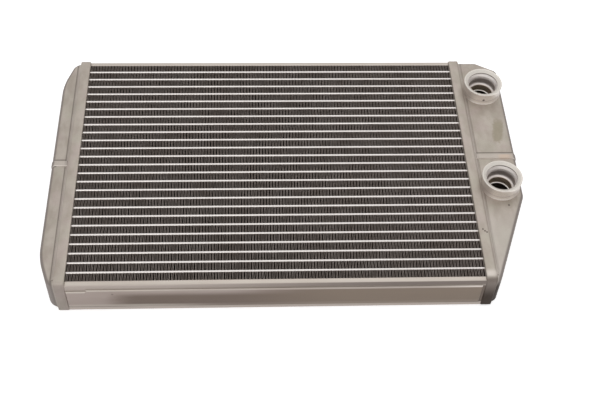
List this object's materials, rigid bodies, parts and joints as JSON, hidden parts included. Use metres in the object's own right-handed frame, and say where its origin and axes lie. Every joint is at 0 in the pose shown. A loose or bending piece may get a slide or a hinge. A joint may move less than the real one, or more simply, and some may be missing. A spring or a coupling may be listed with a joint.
{
  "type": "heater core",
  "caption": "Brazed aluminium heater core: flat water tubes with folded fins between header tanks, and round pipe sockets standing on one tank.",
  "frame": {"origin": "on the resting plane, under the middle of the part's box", "axes": "+X along the tubes towards the tank with the pipe sockets, +Y up the stack of tubes, +Z through the core, the way the sockets face"},
  "size_m": [0.3038, 0.1896, 0.0367],
  "materials": {
    "tube_aluminium": "bright rolled",
    "fin_aluminium": "rolled foil, dark between the folds",
    "header_aluminium": "satin, as brazed",
    "tank_aluminium": "satin, as brazed",
    "side_plate_aluminium": "smooth, slightly glossy",
    "port_aluminium": "turned",
    "baffle_aluminium": "as brazed"
  },
  "bodies": {
    "root": {"tube_01": "tube_aluminium", "tube_02": "tube_aluminium", "tube_03": "tube_aluminium", "tube_04": "tube_aluminium", "tube_05": "tube_aluminium", "tube_06": "tube_aluminium", "tube_07": "tube_aluminium", "tube_08": "tube_aluminium", "tube_09": "tube_aluminium", "tube_10": "tube_aluminium", "tube_11": "tube_aluminium", "tube_12": "tube_aluminium", "tube_13": "tube_aluminium", "tube_14": "tube_aluminium", "tube_15": "tube_aluminium", "tube_16": "tube_aluminium", "tube_17": "tube_aluminium", "tube_18": "tube_aluminium", "tube_19": "tube_aluminium", "tube_20": "tube_aluminium", "tube_21": "tube_aluminium", "tube_22": "tube_aluminium", "tube_23": "tube_aluminium", "tube_24": "tube_aluminium", "tube_25": "tube_aluminium", "fin_01": "fin_aluminium", "fin_02": "fin_aluminium", "fin_03": "fin_aluminium", "fin_04": "fin_aluminium", "fin_05": "fin_aluminium", "fin_06": "fin_aluminium", "fin_07": "fin_aluminium", "fin_08": "fin_aluminium", "fin_09": "fin_aluminium", "fin_10": "fin_aluminium", "fin_11": "fin_aluminium", "fin_12": "fin_aluminium", "fin_13": "fin_aluminium", "fin_14": "fin_aluminium", "fin_15": "fin_aluminium", "fin_16": "fin_aluminium", "fin_17": "fin_aluminium", "fin_18": "fin_aluminium", "fin_19": "fin_aluminium", "fin_20": "fin_aluminium", "fin_21": "fin_aluminium", "fin_22": "fin_aluminium", "fin_23": "fin_aluminium", "fin_24": "fin_aluminium", "fin_25": "fin_aluminium", "fin_26": "fin_aluminium", "left_header": "header_aluminium", "right_header": "header_aluminium", "left_tank": "tank_aluminium", "right_tank": "tank_aluminium", "upper_side_plate": "side_plate_aluminium", "lower_side_plate": "side_plate_aluminium", "upper_port": "port_aluminium", "lower_port": "port_aluminium", "tank_baffle": "baffle_aluminium"}
  },
  "joints": []
}
